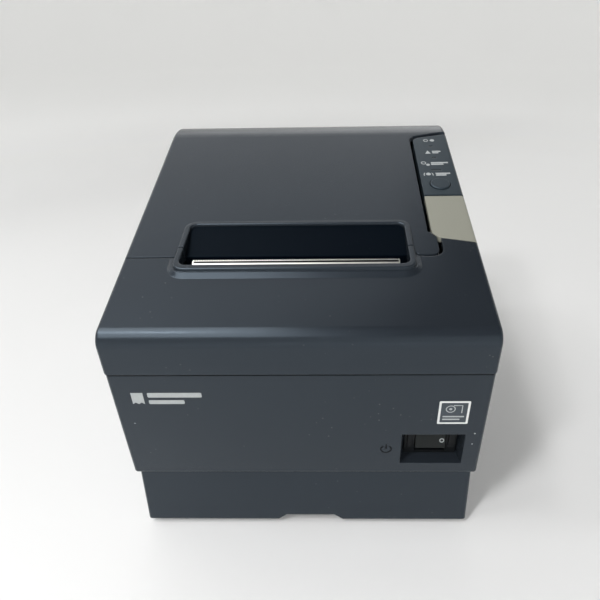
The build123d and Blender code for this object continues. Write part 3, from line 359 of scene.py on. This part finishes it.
def arc(u, v, radius, start=0.0, end=360.0, steps=28):
    """Points along a circle, counter-clockwise from start to end in degrees."""
    closed = end - start >= 360
    count = steps if closed else steps + 1
    turns = [math.radians(start + (end - start) * i / steps) for i in range(count)]
    return [(u + radius * math.cos(t), v + radius * math.sin(t)) for t in turns]


def round_rect(u, v, radius):
    """Points of a rectangle with rounded corners, from u[0] to u[1] and from v[0] to v[1]."""
    corners = ((u[1], v[1], 0), (u[0], v[1], 90), (u[0], v[0], 180), (u[1], v[0], 270))
    points = []
    for x, y, start in corners:
        x -= radius * (1 if x == u[1] else -1)
        y -= radius * (1 if y == v[1] else -1)
        points += arc(x, y, radius, start, start + 90, 5)
    return points


def stroke(points, width):
    """Outline of a line of even width through the points."""
    left, right = [], []
    for i, (x, y) in enumerate(points):
        ahead = points[min(i + 1, len(points) - 1)]
        behind = points[max(i - 1, 0)]
        dx, dy = ahead[0] - behind[0], ahead[1] - behind[1]
        size = math.hypot(dx, dy)
        nx, ny = -dy / size * width / 2, dx / size * width / 2
        left.append((x + nx, y + ny))
        right.append((x - nx, y - ny))
    return left + right[::-1]


def ink(name, color, roughness=0.5):
    """Printed ink or label stock with a fine uneven coat."""
    paint = Paint(name, color, roughness, gloss=INK_GLOSS)
    paint.mottle(0.0015, 0.10)
    paint.bump(paint.noise(0.0003), 0.000004)
    return paint.mat


def text_lines(sheet, u, v, height, gap=0.32):
    """Two plain bars in place of a word."""
    thick = (height - gap) / 2
    sheet.bar(u, (v + gap / 2, v + gap / 2 + thick), 0.2)
    sheet.bar((u[0], u[0] + (u[1] - u[0]) * 0.72), (v - gap / 2 - thick, v - gap / 2), 0.2)


def front_marks(inks):
    """Slip-and-bars mark at the left, power symbol beside the switch, label above it."""
    mark = Print("main_case", FRONT)
    x, z = -62.4, 9.881
    slip = [(x - 2.3, z + 2.9), (x + 2.3, z + 2.9), (x + 2.3, z - 2.9), (x + 1.15, z - 2.1), (x, z - 2.9),
            (x - 1.15, z - 2.1), (x - 2.3, z - 2.9)]
    mark.shape(slip)
    mark.bar((-58.4, -37.6), (z + 0.5, z + 2.9), 0.5)
    mark.bar((-58.4, -44.6), (z - 2.9, z - 0.9), 0.5)
    mark.done("front_mark", "chassis", inks["grey"])
    power = Print("main_case", FRONT, beside="switch_housing")
    x, z = -18.7, -0.258
    power.shape(stroke(arc(x, z, 2.1, 125, 415, 30), 0.5))
    power.shape(stroke([(x, z - 0.2), (x, z + 2.9)], 0.5))
    power.done("power_symbol", "chassis", inks["black"])
    ring = Print("power_rocker", FRONT)
    ring.ring(4.7, 0.784, 1.0, 0.4)
    ring.done("rocker_ring", "rocker", inks["grey"])
    label(inks)
    scuffs = Print("main_case", FRONT)
    scuffs.disc(68.6, -9.719, 0.32)
    scuffs.disc(68.3, -15.819, 0.26)
    scuffs.shape(stroke([(-66.5, -3.519), (-65.9, -3.719)], 0.22))
    scuffs.done("front_scuffs", "chassis", inks["grey"])


def label(inks):
    """Square white-edged label with a plain roll-and-slip pictogram, in three layers."""
    left, right = 0.5, 12.4
    foot, height, edge = 14.442, 12.2, 0.85
    base = Print("main_case", FRONT, "switch_housing", *LABEL_BASE)
    base.bar((left, right), (foot, foot + height), 0.5)
    base.done("label_base", "chassis", inks["white"])
    field = Print("main_case", FRONT, "switch_housing", *LABEL_FIELD)
    field.bar((left + edge, right - edge), (foot + edge, foot + height - edge), 0.3)
    field.done("label_field", "chassis", inks["slate"])
    art = Print("main_case", FRONT, "switch_housing", *LABEL_ART)
    x = (left + right) / 2
    art.ring(x - 1.4, foot + 8.1, 1.9, 0.4)
    art.disc(x - 1.4, foot + 8.1, 0.6)
    art.shape(stroke([(x - 0.4, foot + 10.0), (x + 3.0, foot + 10.0), (x + 3.0, foot + 6.0)], 0.45))
    art.bar((left + 1.8, right - 1.8), (foot + 3.7, foot + 4.4), 0.2)
    art.bar((left + 1.8, right - 3.4), (foot + 2.2, foot + 2.9), 0.2)
    art.done("label_art", "chassis", inks["grey"])


def seam_shade_strip():
    """Dark strip lying on the case's front edge, under the nose cover: painted shade that darkens the seam
    line.
    """
    low, high = (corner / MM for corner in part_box("front_cover"))
    profile = round_rect((low.y + 2.349, low.y + 3.899), (low.z - 0.62, low.z - 0.07), 0.12)
    ends = ((low.x + 1.1, 0.55), (low.x + 1.4, 1.0), (high.x - 1.4, 1.0), (high.x - 1.1, 0.55))
    bm = bmesh.new()
    rings = []
    for x, grow in ends:
        middle = Vector((x, low.y + 3.099, low.z - 0.35))
        rings.append([bm.verts.new((middle + (Vector((x, y, z)) - middle) * grow) * MM) for y, z in profile])
    for one, two in zip(rings, rings[1:]):
        bridge(bm, one, two)
    bm.faces.new(rings[0])
    bm.faces.new(rings[-1])
    bmesh.ops.recalc_face_normals(bm, faces=bm.faces)
    # near-black strip, painted shade in the seam between the nose cover and the case
    paint = moulded("seam_shade_dark", (0.003, 0.0035, 0.004), 0.7, depth=0.00001, edge=0.0001, gloss=DARK_GLOSS)
    obj = link_mesh("front_seam_shade", bm, paint.mat)
    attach(obj, "chassis")


def blade_shade_line(inks):
    """Dark line under the teeth of the tear bar, painted shade where the teeth meet the bar."""
    line = Print("tear_bar", LID)
    # black band as painted shade below the lit tips of the teeth
    line.bar((-41.55, 41.55), (0.60, 1.33), 0.1)
    line.done("tear_bar_shade_line", "sliding_cover", inks["black"])


def panel_marks(inks):
    """Pictograms and bars beside the lamps and the feed button."""
    sheet = Print("control_panel", LID)
    sheet.ring(-2.5, 38.222, 1.25, 0.45)
    sheet.disc(0.8, 38.222, 1.15)
    sheet.shape([(-4.2, 25.222), (-1.4, 25.222), (-2.8, 28.122)])
    text_lines(sheet, (-0.6, 3.7), 26.622, 2.4)
    sheet.ring(-6.1, 16.522, 1.3, 0.45)
    sheet.disc(-4.1, 14.822, 0.9)
    text_lines(sheet, (-2.5, 5.8), 15.922, 2.5)
    sheet.disc(-4.9, 6.522, 1.15)
    sheet.shape(stroke([(-7.0, 5.122), (-7.0, 6.722), (-6.5, 7.522)], 0.45))
    sheet.shape(stroke([(-2.8, 5.122), (-2.8, 6.722), (-3.3, 7.522)], 0.45))
    text_lines(sheet, (-1.5, 5.5), 6.322, 2.5)
    sheet.done("panel_icons", "chassis", inks["grey"])


def rear_marks(inks):
    """Pictograms below the sockets and a plain rating label under the base."""
    sheet = Print("interface_plate", REAR)
    for node in ("power_inlet", "drawer_socket", "usb_socket", "network_socket"):
        low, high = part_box(node)
        below = -(high.z - low.z) / 2 / MM - 2.4
        sheet.about(node)
        sheet.ring(-2.6, below, 0.9, 0.3)
        sheet.bar((-1.0, 3.2), (below - 0.4, below + 0.4), 0.2)
    sheet.done("socket_icons", "chassis", inks["black"])
    plate = Print("base_pan", UNDER, None, *PLATE_BASE)
    plate.bar((-46, 8), (-40, -10), 1.0)
    plate.done("rating_label", "chassis", inks["silver"])
    lines = Print("base_pan", UNDER, None, *PLATE_LINES)
    for i in range(5):
        lines.bar((-42, -8 - 5 * (i % 2)), (-35.5 + 4.4 * i, -34.1 + 4.4 * i), 0.3)
    lines.border((-6, 4), (-36, -26), 0.6)
    lines.done("rating_lines", "chassis", inks["black"])


def marks():
    """All prints, and the dark strip of painted shade in the front seam."""
    inks = {
        "grey": ink("ink_grey", (0.36, 0.38, 0.38)),
        "black": ink("ink_black", (0.0015, 0.0015, 0.002)),
        "white": ink("label_white", (0.62, 0.63, 0.62), 0.35),
        "slate": ink("ink_slate", (0.055, 0.065, 0.075), 0.4),
        "silver": ink("label_silver", (0.55, 0.56, 0.57), 0.3),
    }
    front_marks(inks)
    panel_marks(inks)
    rear_marks(inks)
    blade_shade_line(inks)
    seam_shade_strip()


# ---------------------------------------------------------------- floor, light, camera
FAR_GLOW = 0.25                           # emission of the floor far from the object
GRADIENT_REACH = 2.0                      # metres over which the floor's gradient falls from 1 to 0
GLOW_SPAN = (0.88, 0.45)                  # gradient at which the glow starts, and is full
FLOOR_SIDES = 72
FLAT_RADIUS, CURVE_WIDE, CURVE_HIGH, FLOOR_TOP = 2.0, 0.6, 0.6, 1.8      # metres
ROOM = (0.02, 0.02, 0.021)
AIM = (0, -0.06, 0.09)                    # the lamps look at the front of the object
# name, azimuth and elevation in degrees, distance, side of the square, watts
PANELS = (("key_low", -35, 42, 1.5, 0.16, 6.9),
          ("key_high", -37, 54, 1.5, 0.18, 5.9),
          ("side_panel", -80, 53, 1.5, 0.18, 2.5),
          ("top_panel", -55, 66, 1.5, 0.20, 2.6),
          ("window", -104, 30, 1.8, 0.9, 0.9),
          ("front_panel", 6, 31, 2.2, 1.0, 18.9))
PANEL_COLOR = (1.0, 1.0, 1.02)
UNSEEN = ("front_panel", "window", "key_low", "key_high")      # panels that leave no reflection
# place, size and watts
BACK = ((-0.3, 0.42, 0.95), (1.4, 1.2), 4.6)              # broad light behind the object
GLOW = ((-0.56, -0.60, 1.25), (0.90, 1.75), 27)           # overhead sheen, seen in reflections only


def floor_paint():
    """Pale paint, lit up a little far from the object as if by more lamps there."""
    paint = Paint("floor_paint", (0.80, 0.80, 0.785), 0.45)
    paint.mottle(0.2, 0.012)
    paint.bump(paint.noise(0.002), 0.00002)
    gradient = paint.nodes.new("ShaderNodeTexGradient")
    gradient.gradient_type = "SPHERICAL"
    paint.links.new(paint.stretch((1 / GRADIENT_REACH,) * 3), gradient.inputs["Vector"])
    paint.shader.inputs["Emission Color"].default_value = (1, 1, 0.985, 1)
    paint.links.new(paint.remap(gradient.outputs["Fac"], *GLOW_SPAN, 0.0, FAR_GLOW),
                    paint.shader.inputs["Emission Strength"])
    return paint.mat


def studio():
    """Pale round floor that curves up far from the object on every side."""
    profile = [(FLAT_RADIUS * i / 5, 0.0) for i in range(1, 6)]
    for step in range(1, 9):
        turn = math.radians(90 * step / 8)
        profile.append((FLAT_RADIUS + CURVE_WIDE * math.sin(turn), CURVE_HIGH - CURVE_HIGH * math.cos(turn)))
    edge = FLAT_RADIUS + CURVE_WIDE
    profile += [(edge, 2 * CURVE_HIGH), (edge, FLOOR_TOP)]
    bm = bmesh.new()
    middle = bm.verts.new((0, 0, 0))
    rings = [[bm.verts.new((x, y, z)) for x, y in arc(0, 0, radius, steps=FLOOR_SIDES)]
             for radius, z in profile]
    for i in range(FLOOR_SIDES):
        bm.faces.new((middle, rings[0][i], rings[0][(i + 1) % FLOOR_SIDES]))
    for one, two in zip(rings, rings[1:]):
        bridge(bm, two, one)
    obj = link_mesh("floor", bm, floor_paint())
    for face in obj.data.polygons:
        face.use_smooth = True


def area_light(name, place, aim, size, power, color=(1, 1, 1)):
    """Rectangular lamp at place, turned towards aim."""
    data = bpy.data.lights.new(name, "AREA")
    data.shape = "RECTANGLE"
    data.size, data.size_y = size
    data.energy = power
    data.color = color
    obj = bpy.data.objects.new(name, data)
    obj.location = place
    obj.rotation_euler = (Vector(aim) - Vector(place)).to_track_quat("-Z", "Y").to_euler()
    bpy.context.scene.collection.objects.link(obj)
    return obj


def lights():
    """Soft panels on the left, broad ones in front and behind, a sheen overhead, and a dim room."""
    bpy.context.scene.view_settings.view_transform = "Standard"
    world = bpy.data.worlds.new("room")
    world.use_nodes = True
    background = world.node_tree.nodes["Background"]
    background.inputs["Color"].default_value = (*ROOM, 1)
    background.inputs["Strength"].default_value = 1
    bpy.context.scene.world = world
    aim = Vector(AIM)
    for name, azimuth, elevation, reach, size, watts in PANELS:
        turn, rise = math.radians(azimuth), math.radians(elevation)
        way = Vector((math.sin(turn) * math.cos(rise), -math.cos(turn) * math.cos(rise), math.sin(rise)))
        lamp = area_light(name, aim + way * reach, aim, (size, size), watts, PANEL_COLOR)
        lamp.visible_glossy = name not in UNSEEN
    place, size, watts = BACK
    back = area_light("back_panel", place, (0, 0, place[2]), size, watts)
    back.visible_camera = False
    place, size, watts = GLOW
    sheen = area_light("overhead_sheen", place, (place[0], place[1], 0), size, watts)
    sheen.visible_diffuse = False
    sheen.visible_camera = False


EYE = (13.09, -277.86, 208.49)                            # the camera's place, in mm
PITCH, YAW, ROLL = 26.454, -1.560, -1.057                 # degrees down, to the right and of tilt
SENSOR = 36                                               # mm
FOCAL = 593.76 / 600                                      # focal length over the width of the picture
SHIFT = (-0.0329, 0.0002)


def camera():
    """Slightly left-turned view from above the front, as a hand-held picture has it."""
    data = bpy.data.cameras.new("camera")
    data.sensor_width = SENSOR
    data.lens = FOCAL * SENSOR
    data.shift_x, data.shift_y = SHIFT
    turn = Matrix.Rotation(math.radians(-YAW), 3, "Z") @ Matrix.Rotation(math.radians(90 - PITCH), 3, "X")
    turn = turn @ Matrix.Rotation(math.radians(ROLL), 3, "Z")
    obj = bpy.data.objects.new("camera", data)
    obj.matrix_world = Matrix.Translation(Vector(EYE) * MM) @ turn.to_4x4()
    bpy.context.scene.collection.objects.link(obj)
    bpy.context.scene.camera = obj


camera()
studio()
lights()
paint_frame(slot_paints())
marks()
